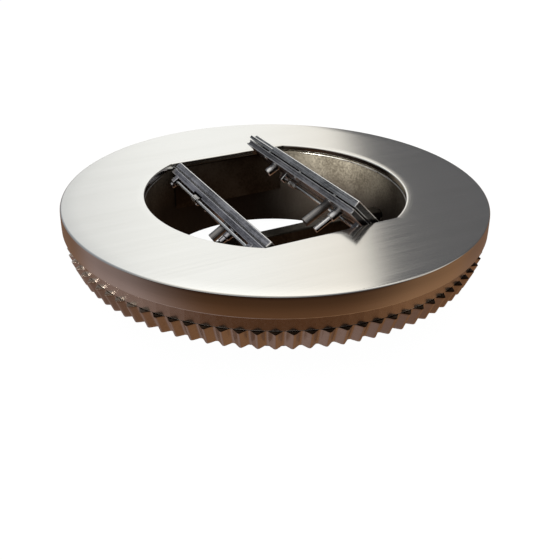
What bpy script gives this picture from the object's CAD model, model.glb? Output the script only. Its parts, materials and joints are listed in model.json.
"""Looks for a round desk grommet: finished metal surfaces, studio light and camera.

The grommet stands on the ground with Z up. Its opening has round ends at -X and +X and
flats along X; two flaps hang in it on axes along Y, the left one at -X.
Lengths in shaders, lights and camera are metres; outlines are millimetres above the seat.
"""
import json
import math
from types import SimpleNamespace

import bmesh
import bpy
from mathutils import Matrix, Vector


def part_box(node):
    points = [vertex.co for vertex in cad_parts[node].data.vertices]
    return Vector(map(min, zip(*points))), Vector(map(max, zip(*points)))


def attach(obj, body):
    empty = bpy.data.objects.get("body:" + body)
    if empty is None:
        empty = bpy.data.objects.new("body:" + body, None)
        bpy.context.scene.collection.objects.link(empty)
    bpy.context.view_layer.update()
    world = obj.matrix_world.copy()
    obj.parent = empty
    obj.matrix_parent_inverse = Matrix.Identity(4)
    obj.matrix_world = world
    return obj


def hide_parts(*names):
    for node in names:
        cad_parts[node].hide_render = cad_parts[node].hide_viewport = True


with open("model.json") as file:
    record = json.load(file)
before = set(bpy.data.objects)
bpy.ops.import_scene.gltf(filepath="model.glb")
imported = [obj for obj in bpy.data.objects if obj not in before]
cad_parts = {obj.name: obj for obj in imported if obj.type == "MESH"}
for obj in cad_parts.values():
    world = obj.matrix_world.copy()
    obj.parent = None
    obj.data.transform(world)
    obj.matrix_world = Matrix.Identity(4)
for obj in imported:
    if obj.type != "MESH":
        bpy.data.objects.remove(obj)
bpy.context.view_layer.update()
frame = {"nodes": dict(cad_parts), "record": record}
NODES = frame["nodes"]
MM = 0.001

# ---- sizes read from the frame ----------------------------------------------------
trim_low, trim_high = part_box("trim_ring")
TRIM_R = trim_high.x
TOP = trim_high.z
SEAT = trim_low.z                       # underside of the trim ring's rim
TRIM_RADIUS = TRIM_R / MM
TRIM_TOP = (TOP - SEAT) / MM
collar_low, collar_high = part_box("toothed_collar")
COLLAR_TOP = (collar_high.z - SEAT) / MM
COLLAR_LOW = (collar_low.z - SEAT) / MM

# directions on the ground as the camera sees them; the opening's flats lie at VIEW_TURN
VIEW_TURN = math.radians(28.6)
RIGHT = Vector((math.cos(VIEW_TURN), -math.sin(VIEW_TURN), 0.0))
AWAY = Vector((math.sin(VIEW_TURN), math.cos(VIEW_TURN), 0.0))
UPWARD = (0.0, 0.0, 1.0)

# ---- flap sizes, mm -----------------------------------------------------------------
# In a flap, w runs from its axis along the plate, y along the axis, h out of its top face.
AXIS_Z = 2.5                            # flap axes above the seat
PLATE_TOP = 1.6
PLATE_LOW = PLATE_TOP - 1.45
HALF_LENGTH = 21.1
PLATE_BACK = -1.3                       # w of the plate edge behind the axis
FRAME_LOW, FRAME_TOP = -1.3, -0.05
BORE_H = -1.95
GROOVE_R = 0.7

# axis_x: place of the axis; direction: sign of w along X; angle: tilt in degrees;
# step: length of the stepped edge; *_tints: (sides, worn corners)
FLAPS = [
    SimpleNamespace(
        side="left", axis_x=-12.5, direction=1.0, reach=8.1, angle=58.0, step=7.6,
        stud_w=1.0, stud_lean=0.0, stud_ys=(20.0, -8.0), stud_r=0.85,
        stud_length=2.0, tail_length=3.2, lug_w=-0.55, lug_ys=(16.6, -18.2),
        plate_tints=((0.50, 0.49, 0.51), (0.84, 0.83, 0.81)),
        frame_tints=((0.38, 0.37, 0.40), (0.50, 0.49, 0.51))),
    SimpleNamespace(
        side="right", axis_x=9.1, direction=-1.0, reach=6.8, angle=46.5, step=10.6,
        stud_w=2.0, stud_lean=14.0, stud_ys=(12.9, -12.9), stud_r=0.95,
        stud_length=2.35, tail_length=6.0, lug_w=0.0, lug_ys=(10.0, -18.2),
        plate_tints=((0.45, 0.45, 0.45), (0.84, 0.83, 0.81)),
        frame_tints=((0.36, 0.35, 0.36), (0.78, 0.77, 0.76))),
]


# ---- node helpers ---------------------------------------------------------------------
class Nodes:
    """Small wrapper that makes node set-ups short to write."""

    # input A, input B and output of a Mix node, by data type
    MIX_SOCKETS = {"FLOAT": (2, 3, 0), "VECTOR": (4, 5, 1), "RGBA": (6, 7, 2)}

    def __init__(self, tree):
        self.tree = tree

    def new(self, kind, **settings):
        node = self.tree.nodes.new(kind)
        for name, value in settings.items():
            setattr(node, name, value)
        return node

    def link(self, source, socket):
        self.tree.links.new(source, socket)

    def feed(self, socket, value):
        """Links a socket, or sets a plain value."""
        if isinstance(value, bpy.types.NodeSocket):
            self.link(value, socket)
        else:
            socket.default_value = value

    def math(self, operation, a, b=0.0):
        node = self.new("ShaderNodeMath", operation=operation)
        self.feed(node.inputs[0], a)
        self.feed(node.inputs[1], b)
        return node.outputs[0]

    def times(self, a, b):
        return self.math("MULTIPLY", a, b)

    def plus(self, a, b):
        return self.math("ADD", a, b)

    def weighted(self, *terms):
        """Sum of (value, weight) pairs."""
        parts = [self.times(value, weight) for value, weight in terms]
        total = parts.pop()
        while parts:
            total = self.plus(parts.pop(), total)
        return total

    def vector_math(self, operation, a, b=(0, 0, 0)):
        node = self.new("ShaderNodeVectorMath", operation=operation)
        self.feed(node.inputs[0], a)
        self.feed(node.inputs[1], b)
        return node.outputs["Value" if operation in ("DOT_PRODUCT", "LENGTH") else 0]

    def dot(self, vector, direction):
        return self.vector_math("DOT_PRODUCT", vector, tuple(direction))

    def split(self, vector):
        node = self.new("ShaderNodeSeparateXYZ")
        self.link(vector, node.inputs[0])
        return node.outputs

    def combine(self, *values):
        node = self.new("ShaderNodeCombineXYZ")
        for socket, value in zip(node.inputs, values):
            self.feed(socket, value)
        return node.outputs[0]

    def fade(self, value, span, to=(0.0, 1.0)):
        """Smooth step: the span of the value becomes the range to."""
        node = self.new("ShaderNodeMapRange", interpolation_type="SMOOTHSTEP")
        self.feed(node.inputs["Value"], value)
        node.inputs["From Min"].default_value, node.inputs["From Max"].default_value = span
        node.inputs["To Min"].default_value, node.inputs["To Max"].default_value = to
        return node.outputs[0]

    def mix(self, factor, a, b, kind="RGBA"):
        node = self.new("ShaderNodeMix", data_type=kind)
        *inputs, output = self.MIX_SOCKETS[kind]
        self.feed(node.inputs[0], factor)
        for index, value in zip(inputs, (a, b)):
            self.feed(node.inputs[index], (*value, 1) if isinstance(value, tuple) else value)
        return node.outputs[output]

    def noise(self, vector, scale=1.0, detail=2.0, rough=0.5):
        node = self.new("ShaderNodeTexNoise")
        self.link(vector, node.inputs["Vector"])
        node.inputs["Scale"].default_value = scale
        node.inputs["Detail"].default_value = detail
        node.inputs["Roughness"].default_value = rough
        return node.outputs["Fac"]

    def mapping(self, vector, scale=(1, 1, 1), turn=(0, 0, 0)):
        node = self.new("ShaderNodeMapping")
        self.link(vector, node.inputs["Vector"])
        node.inputs["Scale"].default_value = scale
        node.inputs["Rotation"].default_value = turn
        return node.outputs[0]

    def streaks(self, vector, stretch, detail=2.0, rough=0.5):
        return self.noise(self.mapping(vector, scale=stretch), detail=detail, rough=rough)

    def bump(self, height, strength, distance):
        node = self.new("ShaderNodeBump")
        self.link(height, node.inputs["Height"])
        self.feed(node.inputs["Strength"], strength)
        node.inputs["Distance"].default_value = distance
        return node.outputs[0]

    def surface(self, shader, colour, rough, normal):
        self.link(colour, shader.inputs["Base Color"])
        self.link(rough, shader.inputs["Roughness"])
        self.link(normal, shader.inputs["Normal"])


# ---- materials --------------------------------------------------------------------------
def metal(name, base, rough, metallic=1.0):
    material = bpy.data.materials.new(name)
    material.use_nodes = True
    shader = material.node_tree.nodes["Principled BSDF"]
    shader.inputs["Base Color"].default_value = (*base, 1)
    shader.inputs["Roughness"].default_value = rough
    shader.inputs["Metallic"].default_value = metallic
    return material, Nodes(material.node_tree), shader


def brushed_nickel():
    """Satin nickel: straight brush lines on the flat face, lines around the rim on its side."""
    material, n, shader = metal("brushed_nickel", base=(0.82, 0.81, 0.775), rough=0.17)
    coords = n.new("ShaderNodeTexCoord")
    place = coords.outputs["Object"]
    line = n.streaks(place, stretch=(30.0, 5200.0, 400.0), detail=3.0, rough=0.62)
    fine = n.streaks(place, stretch=(80.0, 14000.0, 400.0), rough=0.55)
    broad = n.streaks(place, stretch=(20.0, 260.0, 60.0))
    straight = n.weighted((line, 0.55), (fine, 0.45))
    x, y, z = n.split(place)
    angle = n.math("ARCTAN2", y, x)
    around = n.noise(n.combine(n.times(angle, 5.0), n.times(z, 5200.0)))
    flat = n.fade(n.split(coords.outputs["Normal"])[2], span=(0.75, 0.97))
    height = n.mix(flat, around, straight, kind="FLOAT")

    tint = n.mix(n.fade(height, span=(0.32, 0.68)), (0.80, 0.79, 0.755), (0.845, 0.835, 0.80))
    tint = n.mix(n.fade(broad, span=(0.35, 0.65), to=(0.0, 0.35)), tint, (0.87, 0.86, 0.83))

    # the side is darker towards its top, most of all on the part nearest the camera
    def near_to_far(to):
        return n.fade(n.dot(place, AWAY), span=(-0.0415, -0.026), to=to)

    low = n.fade(z, span=(SEAT + 0.0002, TOP - 0.0010), to=(1.0, 0.0))
    shade = n.plus(near_to_far(to=(0.56, 0.84)), n.times(low, near_to_far(to=(0.44, 0.16))))
    side = n.vector_math("MULTIPLY", tint, n.combine(shade, shade, shade))
    n.surface(shader, colour=n.mix(flat, side, tint),
              rough=n.fade(height, span=(0.3, 0.7), to=(0.11, 0.17)),
              normal=n.bump(height, strength=0.05, distance=0.00002))
    shader.inputs["Anisotropic"].default_value = 0.35
    radial = n.new("ShaderNodeTangent", direction_type="RADIAL", axis="Z").outputs[0]
    n.link(n.mix(flat, radial, n.combine(1.0), kind="VECTOR"), shader.inputs["Tangent"])
    return material


def housing_metal():
    """Dark cast tube and deck; the plain band outside is finished like the collar."""
    material, n, shader = metal("housing_cast", base=(0.2, 0.18, 0.15), rough=0.4, metallic=0.9)
    place = n.new("ShaderNodeTexCoord").outputs["Object"]
    x, y, z = n.split(place)
    radius = n.vector_math("LENGTH", n.combine(x, y))
    outside = n.fade(radius, span=(0.0393, 0.0397))
    big = n.noise(place, scale=120.0, detail=3.0, rough=0.55)
    small = n.noise(place, scale=2200.0, rough=0.6)
    tone = n.fade(n.weighted((big, 0.5), (small, 0.5)), span=(0.35, 0.65))
    dark = n.mix(tone, (0.045, 0.038, 0.027), (0.135, 0.12, 0.092))
    stain = n.fade(n.dot(place, RIGHT), span=(0.0165, 0.0262), to=(0.0, 0.30))
    dark = n.mix(stain, dark, (0.030, 0.024, 0.016))
    deep = n.fade(z, span=(SEAT - 0.0068, SEAT + 0.0014), to=(0.93, 0.0))
    dark = n.mix(deep, dark, (0.012, 0.008, 0.005))
    band = n.mix(tone, (0.58, 0.52, 0.46), (0.68, 0.61, 0.54))
    n.link(n.fade(outside, span=(0.0, 1.0), to=(0.35, 1.0)), shader.inputs["Metallic"])
    dark_rough = n.fade(big, span=(0.35, 0.65), to=(0.55, 0.75))
    band_rough = n.fade(small, span=(0.35, 0.65), to=(0.24, 0.32))
    rough = n.plus(n.times(dark_rough, n.math("SUBTRACT", 1.0, outside)),
                   n.times(band_rough, outside))
    pits = n.fade(outside, span=(0.0, 1.0), to=(0.35, 0.0))
    n.surface(shader, colour=n.mix(outside, dark, band), rough=rough,
              normal=n.bump(small, strength=pits, distance=0.00004))
    return material


def cast(name, dark, light, rough=(0.38, 0.55), metallic=0.9, grain=1800.0, pit=0.25):
    """Die-cast metal: fine grain and a blotchy tone."""
    material, n, shader = metal(name, light, rough[0], metallic)
    place = n.new("ShaderNodeTexCoord").outputs["Object"]
    big = n.noise(place, scale=140.0, detail=3.0, rough=0.55)
    small = n.noise(place, scale=grain, rough=0.6)
    tone = n.fade(n.weighted((big, 0.65), (small, 0.35)), span=(0.35, 0.65))
    n.surface(shader, colour=n.mix(tone, dark, light),
              rough=n.fade(big, span=(0.35, 0.65), to=rough),
              normal=n.bump(small, strength=pit, distance=0.00004))
    return material


def collar_metal():
    """Cast metal with dirt on top of the teeth, except the rubbed ones at the view's left."""
    material = cast("collar_metal", dark=(0.56, 0.50, 0.44), light=(0.68, 0.61, 0.54),
                    rough=(0.22, 0.32), metallic=1.0, grain=2600.0, pit=0.03)
    n = Nodes(material.node_tree)
    base = material.node_tree.nodes["Principled BSDF"].inputs["Base Color"]
    coords = n.new("ShaderNodeTexCoord")
    tops = n.fade(n.dot(coords.outputs["Normal"], UPWARD), span=(0.25, 0.75))
    across = n.dot(coords.outputs["Object"], RIGHT * 0.94 + AWAY * 0.34)
    dirty = n.fade(across, span=(-0.036, -0.030))
    clean = base.links[0].from_socket
    n.link(n.mix(n.times(tops, dirty), clean, (0.035, 0.022, 0.014)), base)
    return material


def flap_metal(name, degrees, side_tint, rim_tint):
    """Flap metal: brushed like the trim on its face, darker and streaky along its sides."""
    material, n, shader = metal(name, base=side_tint, rough=0.3)
    angle = math.radians(degrees)
    place = n.new("ShaderNodeTexCoord").outputs["Object"]
    to_object = n.new("ShaderNodeVectorTransform", vector_type="NORMAL",
                      convert_from="WORLD", convert_to="OBJECT")
    n.link(n.new("ShaderNodeNewGeometry").outputs["True Normal"], to_object.inputs[0])
    normal = to_object.outputs[0]
    out_of_face = (math.sin(angle), 0.0, math.cos(angle))
    along_plate = (math.cos(angle), 0.0, -math.sin(angle))
    face = n.fade(n.dot(normal, out_of_face), span=(0.95, 0.995))

    turned = n.mapping(place, turn=(0.0, -angle, 0.0))
    brush = n.streaks(turned, stretch=(30.0, 5200.0, 400.0), detail=3.0, rough=0.6)
    streak = n.streaks(turned, stretch=(3200.0, 55.0, 3200.0), detail=3.0, rough=0.65)
    grain = n.noise(n.mapping(turned, scale=(1.0, 0.45, 1.0)), scale=2400.0, rough=0.6)
    blotch = n.noise(place, scale=160.0)
    pattern = n.weighted((streak, 0.5), (grain, 0.2), (blotch, 0.3))
    dark_tint = tuple(channel * 0.22 for channel in side_tint)
    sides = n.mix(n.fade(pattern, span=(0.36, 0.64)), dark_tint, side_tint)

    # end faces are darker; rounded corners are worn bright
    facing = [n.math("ABSOLUTE", n.dot(normal, direction))
              for direction in (out_of_face, along_plate, (0.0, 1.0, 0.0))]
    ends = n.fade(facing[2], span=(0.8, 0.97), to=(0.0, 0.85))
    sides = n.mix(ends, sides, (0.03, 0.028, 0.026))
    squarest = n.math("MAXIMUM", n.math("MAXIMUM", facing[0], facing[1]), facing[2])
    sides = n.mix(n.fade(squarest, span=(0.88, 0.98), to=(1.0, 0.0)), sides, rim_tint)
    top = n.mix(n.fade(brush, span=(0.32, 0.68)), (0.72, 0.71, 0.68), (0.82, 0.81, 0.78))
    relief = n.weighted((streak, 0.6), (grain, 0.4))
    n.surface(shader, colour=n.mix(face, sides, top),
              rough=n.fade(pattern, span=(0.3, 0.7), to=(0.2, 0.36)),
              normal=n.bump(relief, strength=0.22, distance=0.00004))
    return material


def drawn_metal(name, dark, light, rough):
    """Drawn metal with lines along Y."""
    material, n, shader = metal(name, light, rough)
    place = n.new("ShaderNodeTexCoord").outputs["Object"]
    line = n.streaks(place, stretch=(9000.0, 40.0, 9000.0), rough=0.6)
    blotch = n.noise(place, scale=260.0)
    tone = n.fade(n.weighted((line, 0.6), (blotch, 0.4)), span=(0.33, 0.67))
    n.surface(shader, colour=n.mix(tone, dark, light),
              rough=n.fade(line, span=(0.3, 0.7), to=(rough * 0.8, rough * 1.3)),
              normal=n.bump(line, strength=0.2, distance=0.00002))
    return material


M_TRIM = brushed_nickel()
M_HOUSING = housing_metal()
M_EDGE = cast("worn_edge", dark=(0.30, 0.29, 0.27), light=(0.62, 0.61, 0.58),
              rough=(0.24, 0.36), metallic=1.0, grain=1500.0, pit=0.3)
M_CAST = cast("cast_body", dark=(0.035, 0.030, 0.024), light=(0.085, 0.075, 0.06))
M_COLLAR = collar_metal()
M_PLATE = {f.side: flap_metal(f.side + "_flap_metal", f.angle, *f.plate_tints) for f in FLAPS}
M_FRAME = {f.side: flap_metal(f.side + "_frame_metal", f.angle, *f.frame_tints) for f in FLAPS}
M_STEEL = drawn_metal("bright_steel", dark=(0.52, 0.52, 0.52), light=(0.74, 0.74, 0.73), rough=0.2)
M_DARK = drawn_metal("dark_pin", dark=(0.20, 0.19, 0.185), light=(0.34, 0.33, 0.32), rough=0.34)

SLOT_MATERIALS = {"brushed_nickel": M_TRIM, "cast_body": M_CAST, "collar": M_COLLAR,
                  "flap_metal": M_PLATE["left"], "bright_steel": M_STEEL, "dark_pin": M_DARK}


def smooth_shade(mesh, sharp_angle):
    mesh.shade_smooth()
    mesh.set_sharp_from_angle(angle=math.radians(sharp_angle))


for part in frame["record"]["subparts"]:
    mesh = NODES[part["node"]].data
    housing_part = part["node"] == "housing"
    mesh.materials.clear()
    mesh.materials.append(M_HOUSING if housing_part else SLOT_MATERIALS[part["material_slot"]])
    smooth_shade(mesh, 32)


# ---- mesh helpers -------------------------------------------------------------------------
def solid(name, bm):
    """Turns a bmesh into a plain object."""
    bmesh.ops.remove_doubles(bm, verts=bm.verts, dist=1e-7)
    bmesh.ops.recalc_face_normals(bm, faces=bm.faces)
    mesh = bpy.data.meshes.new(name)
    bm.to_mesh(mesh)
    bm.free()
    ob = bpy.data.objects.new(name, mesh)
    bpy.context.scene.collection.objects.link(ob)
    return ob


def piece(name, bm, material, body, sharp_angle, replaces=None):
    """Turns a bmesh into a finished piece that rides on a body."""
    ob = solid(name, bm)
    raw = ob.data
    raw.materials.append(material)
    smooth_shade(raw, sharp_angle)
    # flat faces keep their own direction next to small bevels
    weighted = ob.modifiers.new("weighted", "WEIGHTED_NORMAL")
    weighted.keep_sharp = True
    weighted.weight = 80
    bpy.context.view_layer.update()
    evaluated = ob.evaluated_get(bpy.context.evaluated_depsgraph_get())
    baked = bpy.data.meshes.new_from_object(evaluated)
    ob.modifiers.remove(weighted)
    ob.data = baked
    bpy.data.meshes.remove(raw)
    baked.name = name
    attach(ob, body)
    if replaces:
        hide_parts(replaces)


def loft(bm, rings, closed=True, joined=False, caps=False):
    """Quads between rings of one length; joined also links the last ring to the first."""
    rows = [[bm.verts.new(p) for p in ring] for ring in rings]
    count = len(rows[0])
    pairs = list(zip(rows, rows[1:])) + ([(rows[-1], rows[0])] if joined else [])
    for a, b in pairs:
        for i in range(count if closed else count - 1):
            j = (i + 1) % count
            bm.faces.new((a[i], a[j], b[j], b[i]))
    if caps:
        for ring in (rows[0][::-1], rows[-1]):
            cap = bm.faces.new(ring)
            bmesh.ops.triangulate(bm, faces=[cap], ngon_method="EAR_CLIP")
    return rows


def spun(outline, steps, matrix):
    """Copies of a (radius, height) outline, in metres, turned about the matrix's Z."""
    turns = [2 * math.pi * k / steps for k in range(steps)]
    return [[matrix @ Vector((r * math.cos(t), r * math.sin(t), z)) for r, z in outline]
            for t in turns]


def standing(outline, angle):
    """A (radius, height above seat) outline in mm, stood up at an angle about world Z."""
    return [Vector((r * MM * math.cos(angle), r * MM * math.sin(angle), SEAT + z * MM))
            for r, z in outline]


def on_circle(cx, cy, radius, degrees):
    return [(cx + radius * math.cos(math.radians(q)), cy + radius * math.sin(math.radians(q)))
            for q in degrees]


def arc(cx, cy, radius, start, end, steps):
    turns = [start + (end - start) * i / steps for i in range(steps + 1)]
    return on_circle(cx, cy, radius, turns)


# ---- trim ring ------------------------------------------------------------------------------
OPEN_R, OPEN_FLAT = 25.7, 21.9          # round ends; distance of the flats from the centre
FACE_UNDER = TRIM_TOP - 1.2
LIP_DROP, LIP_R = 0.05, 0.2             # edge of the opening: drop below the face, rounding
SKIRT_R = 39.6                          # inside of the rim
BOSS_RADIUS = 33.0                      # bosses' distance from the centre


def trim_angles():
    """Even steps, with a close pair at each corner between a flat and a round end."""
    corner = math.asin(OPEN_FLAT / OPEN_R)
    corners = (corner, math.pi - corner, math.pi + corner, 2 * math.pi - corner)
    even = {round(2 * math.pi * k / 384, 6) for k in range(384)}
    kept = {a for a in even if all(abs(a - c) > 0.006 for c in corners)}
    return sorted(kept | {round(c + side, 6) for c in corners for side in (-0.0035, 0.0035)})


def trim_rim():
    """Outer part of the section, (radius, height): crowned face, rounded edge and side."""
    crown = [(38.2 + 2.85 * k / 8, TRIM_TOP - 0.06 * (k / 8.0) ** 2) for k in range(9)]
    side = [(TRIM_RADIUS - 0.07, TRIM_TOP - 0.9), (TRIM_RADIUS - 0.04, TRIM_TOP - 1.6),
            (TRIM_RADIUS - 0.015, TRIM_TOP - 2.3), (TRIM_RADIUS, TRIM_TOP - 3.0),
            (TRIM_RADIUS, 0.55), (TRIM_RADIUS, 0.3)]
    return (crown + arc(TRIM_RADIUS - 0.45, TRIM_TOP - 0.41, 0.35, 84, 6, 8) + side
            + arc(TRIM_RADIUS - 0.22, 0.22, 0.22, 0, -90, 4))


def trim_section(angle, rim):
    """Closed (radius, height) section; its inner edge follows the opening."""
    slope = abs(math.sin(angle))
    edge = min(OPEN_R, OPEN_FLAT / slope) if slope > 1e-9 else OPEN_R
    lip = on_circle(edge + LIP_R, TRIM_TOP - LIP_DROP - LIP_R, LIP_R, (180, 158, 135, 114, 96))
    rise = [(edge + LIP_R + k * 0.2, TRIM_TOP - LIP_DROP * (1.0 - k / 7.0) ** 2)
            for k in range(1, 8)]
    return ([(edge, FACE_UNDER + 0.12), (edge, TRIM_TOP - 0.42)] + lip + rise + rim
            + [(SKIRT_R + 0.15, 0.0), (SKIRT_R, 0.15), (SKIRT_R, FACE_UNDER),
               (edge + 0.12, FACE_UNDER)])


def trim_ring():
    rim = trim_rim()
    bm = bmesh.new()
    loft(bm, [standing(trim_section(a, rim), a) for a in trim_angles()], joined=True)
    # hollow bosses under the face: (radius, height)
    boss = [(1.2, 0.0), (2.1, 0.0), (2.2, 0.1), (2.2, FACE_UNDER + 0.1), (1.2, FACE_UNDER + 0.1)]
    for turn in (45, 135, 225, 315):
        a = math.radians(turn)
        place = Matrix.Translation((BOSS_RADIUS * MM * math.cos(a),
                                    BOSS_RADIUS * MM * math.sin(a), SEAT))
        loft(bm, spun([(r * MM, z * MM) for r, z in boss], 32, place), joined=True)
    piece("trim_ring_brushed", bm, M_TRIM, "grommet_body", 40, "trim_ring")


trim_ring()

# ---- toothed collar ---------------------------------------------------------------------------
TEETH = 90
TOOTH_PHASE = math.radians(2.2)
ROOT_R, TOOTH_HEIGHT, TAPER = 40.0, 1.1, 1.5       # the collar narrows by TAPER downwards
BORE_R, BAND_R = 37.5, 39.9
# stations from a tip (0) to the middle of a gap (0.5), in tooth pitches
HALF_TOOTH = [0.0, 0.03, 0.06, 0.09, 0.13, 0.18, 0.23, 0.28, 0.33, 0.37, 0.41, 0.45, 0.5]


def tooth(u):
    """1 on a tip, 0 between teeth, with straight flanks and slightly rounded corners."""
    total = 0.0
    for k in range(-5, 6):
        away = abs(abs(u) + k * 0.011)
        away = 1.0 - away if away > 0.5 else away
        total += min(1.0, max(0.0, (0.42 - away) / 0.36))
    return total / 11.0


def collar_section(u, band_low):
    """Closed (radius, height) section at station u of a tooth."""
    rise = tooth(u)

    def outer(z):
        narrowing = TAPER * (COLLAR_TOP - z) / (COLLAR_TOP - COLLAR_LOW)
        return ROOT_R + TOOTH_HEIGHT * rise - narrowing

    c = min(0.10, 0.02 + 0.10 * rise)   # chamfer of the upper edge
    top, low = COLLAR_TOP, COLLAR_LOW
    section = [(BORE_R, band_low - 0.01), (BAND_R, band_low - 0.01), (39.96, top),
               (outer(top) - c, top), (outer(top) - 0.3 * c, top - 0.3 * c),
               (outer(top - c), top - c)]
    section += [(outer(top - drop), top - drop) for drop in (0.4, 0.9, 1.4, 1.9, 2.4, 2.9, 3.3)]
    return section + [(outer(low + 0.2), low + 0.2), (outer(low + 0.06) - 0.04, low + 0.06),
                      (outer(low) - 0.16, low), (38.0, low), (BORE_R, low)]


def toothed_collar():
    # the collar reaches up inside to the foot of the housing's outer band
    housing = NODES["housing"]
    points = [housing.matrix_world @ v.co for v in housing.data.vertices]
    band_low = (min(p.z for p in points if math.hypot(p.x, p.y) > BAND_R * MM) - SEAT) / MM
    stations = [-u for u in reversed(HALF_TOOTH[1:-1])] + HALF_TOOTH
    sections = [(u, collar_section(u, band_low)) for u in stations]
    rings = [standing(section, TOOTH_PHASE + 2 * math.pi * (i + u) / TEETH)
             for i in range(TEETH) for u, section in sections]
    bm = bmesh.new()
    loft(bm, rings, joined=True)
    piece("toothed_collar_ring", bm, M_COLLAR, "grommet_body", 50, "toothed_collar")


toothed_collar()

# ---- worn bright edge of the cable tube, at the round ends of the opening -----------------------
EDGE_R, EDGE_Z, EDGE_THICK_R = 25.92, 2.38, 0.17
EDGE_SWEEP, EDGE_STEPS = 100.0, 80


def tube_edge(side, middle):
    section = arc(EDGE_R, EDGE_Z, EDGE_THICK_R, 0, 330, 11)
    rings = []
    for k in range(EDGE_STEPS + 1):
        taper = min(1.0, 0.35 + min(k, EDGE_STEPS - k) / 5.0)
        thinned = [(EDGE_R + (r - EDGE_R) * taper, EDGE_Z + (z - EDGE_Z) * taper)
                   for r, z in section]
        turn = middle - EDGE_SWEEP / 2 + EDGE_SWEEP * k / EDGE_STEPS
        rings.append(standing(thinned, math.radians(turn)))
    bm = bmesh.new()
    loft(bm, rings, caps=True)
    piece("tube_rim_edge_" + side, bm, M_EDGE, "grommet_body", 60)


tube_edge("right", 0.0)
tube_edge("left", 180.0)


# ---- flaps -----------------------------------------------------------------------------------------
def flap_placer(flap):
    """Function from a flap's (w, y, h) in mm to world metres."""
    to_world = (Matrix.Translation((flap.axis_x * MM, 0.0, SEAT + AXIS_Z * MM))
                @ Matrix.Rotation(math.radians(flap.angle), 4, "Y"))

    def to_part(w, y, h):
        return to_world @ Vector((flap.direction * w * MM, y * MM, h * MM))
    return to_part


def inset(outline, by):
    """Moves a closed outline inwards."""
    following = outline[1:] + outline[:1]
    area = sum(p[0] * q[1] - q[0] * p[1] for p, q in zip(outline, following))
    sign = 1.0 if area > 0 else -1.0

    def inward(a, b):
        edge = b - a
        if edge.length > 1e-9:
            return Vector((-edge.y, edge.x)).normalized() * sign
        return Vector((0, 0))

    moved = []
    for i, point in enumerate(outline):
        here = Vector(point)
        normal = inward(Vector(outline[i - 1]), here)
        middle = normal + inward(here, Vector(following[i]))
        if middle.length < 1e-6:
            middle = normal
        middle.normalize()
        shift = by / max(middle.dot(normal), 0.45)
        moved.append((here.x + middle.x * shift, here.y + middle.y * shift))
    return moved


def bar(sections, bevel, to_part):
    """Lofts (y, (w, h) outline) sections along y, with softened ends."""
    (y0, first), (y1, last) = sections[0], sections[-1]
    rows = [(y0, inset(first, bevel)), (y0 + bevel * 0.3, inset(first, bevel * 0.3)),
            (y0 + bevel, first), (y0 + bevel + 0.3, first)]
    rows += sections[1:-1]
    rows += [(y1 - bevel - 0.3, last), (y1 - bevel, last),
             (y1 - bevel * 0.3, inset(last, bevel * 0.3)), (y1, inset(last, bevel))]
    bm = bmesh.new()
    loft(bm, [[to_part(w, y, h) for w, h in outline] for y, outline in rows], caps=True)
    return bm


def block(name, to_part, centre, size, bevel=0.0):
    """Box in flap coordinates; the bevel is a share of its size."""
    bm = bmesh.new()
    bmesh.ops.create_cube(bm, size=1.0)
    if bevel:
        bmesh.ops.bevel(bm, geom=list(bm.edges), offset=bevel, segments=3,
                        affect="EDGES", profile=0.5)
    for v in bm.verts:
        v.co = to_part(*(c + share * s for c, share, s in zip(centre, v.co, size)))
    return solid(name, bm)


def post(name, start, end, start_r, end_r, tip_r, steps=20):
    """Round post between two world points, radii in mm, with a rounded far end."""
    start_r, end_r, tip_r = start_r * MM, end_r * MM, tip_r * MM
    axis = end - start
    length = axis.length
    place = Matrix.Translation(start) @ axis.to_track_quat("Z", "Y").to_matrix().to_4x4()
    outline = [(start_r, 0.0), (start_r + (end_r - start_r) * 0.8, length - tip_r)]
    outline += on_circle(end_r - tip_r, length - tip_r, tip_r, (15, 35, 60, 90))
    bm = bmesh.new()
    rows = loft(bm, spun(outline, steps, place), closed=False, joined=True)
    for end_index in (0, -1):
        bm.faces.new([row[end_index] for row in rows])
    return solid(name, bm)


def combine(base, tools):
    """Applies boolean tools to a base object and returns the result as a bmesh."""
    for operation, tool in tools:
        boolean = base.modifiers.new(operation, "BOOLEAN")
        boolean.operation = operation
        boolean.solver = "EXACT"
        boolean.object = tool
    bpy.context.view_layer.update()
    evaluated = base.evaluated_get(bpy.context.evaluated_depsgraph_get())
    result = bmesh.new()
    result.from_mesh(evaluated.to_mesh())
    evaluated.to_mesh_clear()
    for ob in [base] + [tool for _, tool in tools]:
        mesh = ob.data
        bpy.data.objects.remove(ob, do_unlink=True)
        bpy.data.meshes.remove(mesh)
    return result


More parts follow.
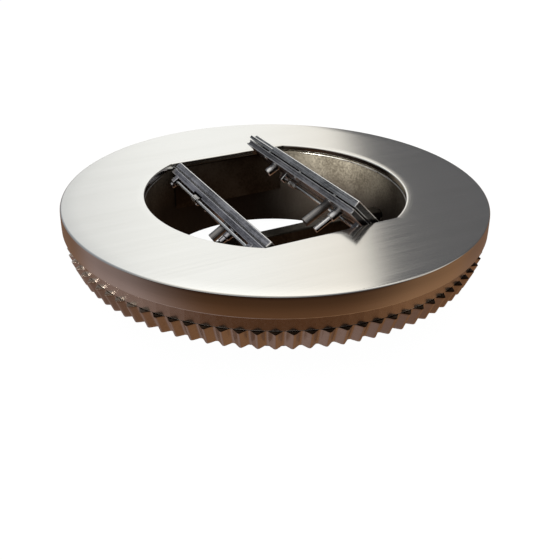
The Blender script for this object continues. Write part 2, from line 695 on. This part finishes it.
def flap_plate(flap, to_part):
    """Face plate; near its +Y end the free edge is stepped down."""
    reach, top, low, back = flap.reach, PLATE_TOP, PLATE_LOW, PLATE_BACK
    r = 0.30                            # rounding of the upper edges
    rear = ([(back + 0.12, low), (back, low + 0.12), (back, low + 0.4)]
            + arc(back + r, top - r, r, 180, 90, 5) + [(back + r + 0.25, top), (reach - 1.35, top)])
    rounded = arc(reach - r, top - r, r, 90, 0, 5)
    stepped = [(reach - 1.15, top), (reach - 1.02, top - 0.12), (reach - 0.98, top - 0.62),
               (reach - 0.86, top - 0.72), (reach - 0.14, top - 0.72), (reach, top - 0.86)]
    under = [(reach, low + 0.3), (reach - 0.04, low + 0.06), (reach - 0.14, low)]
    under += on_circle(0, 0, GROOVE_R, (12.4, 35, 60, 90, 120, 145, 167.6))
    full, cut = rear + rounded + under, rear + stepped + under
    step_y = HALF_LENGTH - flap.step
    bm = bar([(-HALF_LENGTH, full), (-7.0, full), (7.0, full), (step_y - 0.5, full),
              (step_y, full), (step_y + 0.45, cut), (step_y + 0.8, cut), (HALF_LENGTH, cut)],
             0.22, to_part)
    piece(flap.side + "_flap_plate_edged", bm, M_PLATE[flap.side], flap.side + "_flap",
          38, flap.side + "_flap_plate")


def frame_rail(flap, to_part):
    """Rail with a shallow channel in its free edge."""
    free, back, low, top = flap.reach - 0.35, PLATE_BACK + 0.1, FRAME_LOW, FRAME_TOP
    c = 0.18                            # chamfer
    outline = [(back + c, top)]
    outline += on_circle(0, 0, GROOVE_R, (184.1, 215, 245, 270, 295, 325, 355.9))
    outline += [
        (free - c - 0.2, top), (free - c, top), (free - c * 0.3, top - c * 0.3),
        (free, top - c), (free, top - c - 0.1), (free - 0.28, top - 0.38),
        (free - 0.28, low + 0.38), (free, low + c + 0.1), (free, low + c),
        (free - c * 0.3, low + c * 0.3), (free - c, low), (free - c - 0.2, low),
        (back + c + 0.2, low), (back + c, low), (back + c * 0.3, low + c * 0.3),
        (back, low + c), (back, low + c + 0.15), (back, top - c - 0.15),
        (back, top - c), (back + c * 0.3, top - c * 0.3)]
    end = HALF_LENGTH - 0.25
    rows = [(y, outline) for y in (-end, -10.0, 10.0, end)]
    return solid(flap.side + "_rail", bar(rows, 0.18, to_part))


def flap_frame(flap, to_part):
    """Rail with a coil pocket, two studs, a tail on the second stud and two bored lugs."""
    side = flap.side
    rail = frame_rail(flap, to_part)
    lean = math.radians(flap.stud_lean)

    def below(y, depth):
        return to_part(flap.stud_w + depth * math.sin(lean), y,
                       FRAME_LOW - depth * math.cos(lean))

    tools = [("DIFFERENCE", block(side + "_pocket", to_part, (flap.lug_w, 6.3, FRAME_LOW - 0.29),
                                  (2.2, 3.8, 1.42)))]
    for i, y in enumerate(flap.stud_ys):
        tools.append(("UNION", post(f"{side}_stud_{i}", below(y, -0.42),
                                    below(y, flap.stud_length), flap.stud_r,
                                    flap.stud_r * 0.93, 0.28, steps=28)))
    y = flap.stud_ys[1]
    tools.append(("UNION", post(side + "_tail", below(y, flap.stud_length - 0.5),
                                below(y, flap.tail_length), 0.62, 0.6, 0.16)))
    lug_h = (BORE_H - 0.85 + FRAME_LOW + 0.4) / 2
    lug_size = (1.4, 1.4, FRAME_LOW + 0.4 - BORE_H + 0.85)
    for i, y in enumerate(flap.lug_ys):
        tools.append(("UNION", block(f"{side}_lug_{i}", to_part, (flap.lug_w, y + 0.7, lug_h),
                                     lug_size, bevel=0.16)))
        tools.append(("DIFFERENCE", post(f"{side}_bore_{i}", to_part(flap.lug_w, y - 0.5, BORE_H),
                                         to_part(flap.lug_w, y + 1.9, BORE_H), 0.48, 0.48, 0.02)))
    piece(side + "_flap_frame_cast", combine(rail, tools), M_FRAME[side], side + "_flap",
          40, side + "_flap_frame")


for flap in FLAPS:
    to_part = flap_placer(flap)
    flap_plate(flap, to_part)
    flap_frame(flap, to_part)


# ---- floor -------------------------------------------------------------------------------
def studio_floor():
    bpy.ops.mesh.primitive_plane_add(size=4.0, location=(0, 0, -0.0002))
    floor = bpy.context.object
    floor.name = "studio_floor"
    material, n, shader = metal("pale_floor", base=(0.9, 0.9, 0.895), rough=0.9, metallic=0.0)
    glow = n.new("ShaderNodeEmission")
    glow.inputs["Color"].default_value = (1, 1, 1, 1)
    glow.inputs["Strength"].default_value = 1.06
    lit = n.new("ShaderNodeMixShader")
    lit.inputs[0].default_value = 0.93  # share of glow
    n.link(shader.outputs[0], lit.inputs[1])
    n.link(glow.outputs[0], lit.inputs[2])
    # seen from below the floor is clear, so the underside can be looked at
    clear = n.new("ShaderNodeMixShader")
    n.link(n.new("ShaderNodeNewGeometry").outputs["Backfacing"], clear.inputs[0])
    n.link(lit.outputs[0], clear.inputs[1])
    n.link(n.new("ShaderNodeBsdfTransparent").outputs[0], clear.inputs[2])
    n.link(clear.outputs[0], material.node_tree.nodes["Material Output"].inputs["Surface"])
    floor.data.materials.append(material)
    floor.visible_glossy = False
    floor.visible_diffuse = False


# ---- world ---------------------------------------------------------------------------------
def radians(*degrees):
    return tuple(math.radians(d) for d in degrees)


def upper_world(n, dx, dy, dz):
    """Bright backdrop with a dark panel at the right, and the room behind the camera."""
    azimuth = n.math("ARCTAN2", dx, dy)         # 0 straight away from the camera, + to the right
    bright = n.mix(n.fade(azimuth, span=radians(-34, -8)), (0.33, 0.345, 0.37), (1.02, 1.03, 1.02))
    bright = n.mix(n.fade(azimuth, span=radians(-6, 8)), bright, (0.97, 0.93, 0.86))
    lift = n.fade(dz, span=(0.50, 0.62), to=(1.0, 1.28))
    bright = n.vector_math("MULTIPLY", bright, n.combine(lift, lift, lift))
    # the panel's left edge leans with height
    lean = n.times(n.math("SUBTRACT", dz, 0.3206), math.radians(21.0))
    panel = n.times(n.fade(n.math("SUBTRACT", azimuth, lean), span=radians(4.0, 7.0)),
                    n.fade(azimuth, span=radians(70, 100), to=(1.0, 0.0)))
    upper = n.mix(panel, bright, (0.118, 0.118, 0.124))
    upper = n.mix(n.fade(dz, span=(0.72, 0.88)), upper, (1.15, 1.12, 1.06))
    room = n.mix(n.fade(dx, span=(-0.6, 0.6)), (0.86, 0.86, 0.85), (0.30, 0.30, 0.31))
    room = n.mix(n.fade(dz, span=(0.14, 0.42)), (0.032, 0.018, 0.012), room)
    return n.mix(n.fade(dy, span=(-0.45, -0.05)), room, upper)


def lower_world(n, dx, dy, dz):
    """Brown surroundings below the horizon."""
    near = n.mix(n.fade(dz, span=(-0.48, -0.22)), (0.115, 0.053, 0.025), (0.040, 0.018, 0.012))
    brown = n.mix(n.fade(dx, span=(-0.15, 0.25)), (0.29, 0.21, 0.19), (0.26, 0.14, 0.074))
    brown = n.mix(n.fade(dy, span=(-0.80, -0.10)), near, brown)
    return n.mix(n.fade(dy, span=(0.2, 0.6)), brown, (0.195, 0.112, 0.073))


def studio_world():
    world = bpy.data.worlds.new("studio")
    bpy.context.scene.world = world
    world.use_nodes = True
    n = Nodes(world.node_tree)
    direction = n.new("ShaderNodeTexCoord").outputs["Generated"]
    parts = [n.dot(direction, axis) for axis in (RIGHT, AWAY, UPWARD)]
    upper = upper_world(n, *parts)
    sky = n.mix(n.fade(parts[2], span=(-0.10, 0.08)), lower_world(n, *parts), upper)
    camera_ray = n.new("ShaderNodeLightPath").outputs["Is Camera Ray"]
    background = world.node_tree.nodes["Background"]
    n.link(n.mix(camera_ray, sky, (1, 1, 1)), background.inputs["Color"])
    background.inputs["Strength"].default_value = 1.0


studio_floor()
studio_world()

# ---- lamps -----------------------------------------------------------------------------------
CENTRE = Vector((0, 0, TOP))


def linked(name, members):
    collection = bpy.data.collections.new(name)
    for key in members:
        collection.objects.link(bpy.data.objects[key] if key in bpy.data.objects else NODES[key])
    return collection


def lamp(name, kind, location, target, **settings):
    light = bpy.data.lights.new(name, kind)
    for setting, value in settings.items():
        setattr(light, setting, value)
    ob = bpy.data.objects.new(name, light)
    bpy.context.scene.collection.objects.link(ob)
    ob.location = location
    ob.rotation_euler = (target - location).to_track_quat("-Z", "Y").to_euler()
    return ob.light_linking


# a soft spot on the far side of the tube wall
WALL_R, WALL_TURN = 26.0 * MM, math.radians(32)
wall = (RIGHT * (WALL_R * math.sin(WALL_TURN)) + AWAY * (WALL_R * math.cos(WALL_TURN))
        + Vector((0, 0, SEAT + 1.5 * MM)))
linking = lamp("wall_lamp", "SPOT", wall + (-RIGHT * 0.10 - AWAY * 0.24 + Vector((0, 0, 0.30))),
               wall, energy=60.0, color=(1.0, 0.98, 0.94), spot_size=math.radians(3.9),
               spot_blend=1.0, shadow_soft_size=0.008)
linking.receiver_collection = linked(
    "tube_wall", ("housing", "tube_rim_edge_right", "tube_rim_edge_left"))
linking.blocker_collection = linked("tube_shade", ("housing", "trim_ring_brushed"))

# a window at the left for the tops of the teeth
linking = lamp("side_window", "AREA", CENTRE - RIGHT * 0.375 - AWAY * 0.012 + Vector((0, 0, 0.333)),
               CENTRE, shape="DISK", size=0.13, energy=1.0, color=(1.0, 0.97, 0.96))
linking.receiver_collection = linked("teeth", ("toothed_collar_ring",))

# ---- camera ------------------------------------------------------------------------------------
CAMERA_TILT, CAMERA_ROLL = math.radians(29.89), math.radians(0.84)
# point looked at and distance from it, in trim ring radii
LOOK_RIGHT, LOOK_AWAY, DISTANCE = 0.027, -0.880, 2.661


def camera():
    data = bpy.data.cameras.new("camera")
    ob = bpy.data.objects.new("camera", data)
    bpy.context.scene.collection.objects.link(ob)
    forward = AWAY * math.cos(CAMERA_TILT) - Vector(UPWARD) * math.sin(CAMERA_TILT)
    level_up = RIGHT.cross(forward)
    right = RIGHT * math.cos(CAMERA_ROLL) + level_up * math.sin(CAMERA_ROLL)
    up = -RIGHT * math.sin(CAMERA_ROLL) + level_up * math.cos(CAMERA_ROLL)
    look = CENTRE + (RIGHT * LOOK_RIGHT + AWAY * LOOK_AWAY) * TRIM_R
    eye = look - forward * DISTANCE * TRIM_R
    columns = zip(right, up, -forward, eye)
    ob.matrix_world = Matrix((*columns, (0, 0, 0, 1)))
    data.sensor_width = 36.0
    data.lens = 46.035
    data.clip_start = 0.005
    data.clip_end = 20.0
    bpy.context.scene.camera = ob


camera()
bpy.context.scene.view_settings.view_transform = "Standard"
bpy.context.scene.view_settings.look = "None"
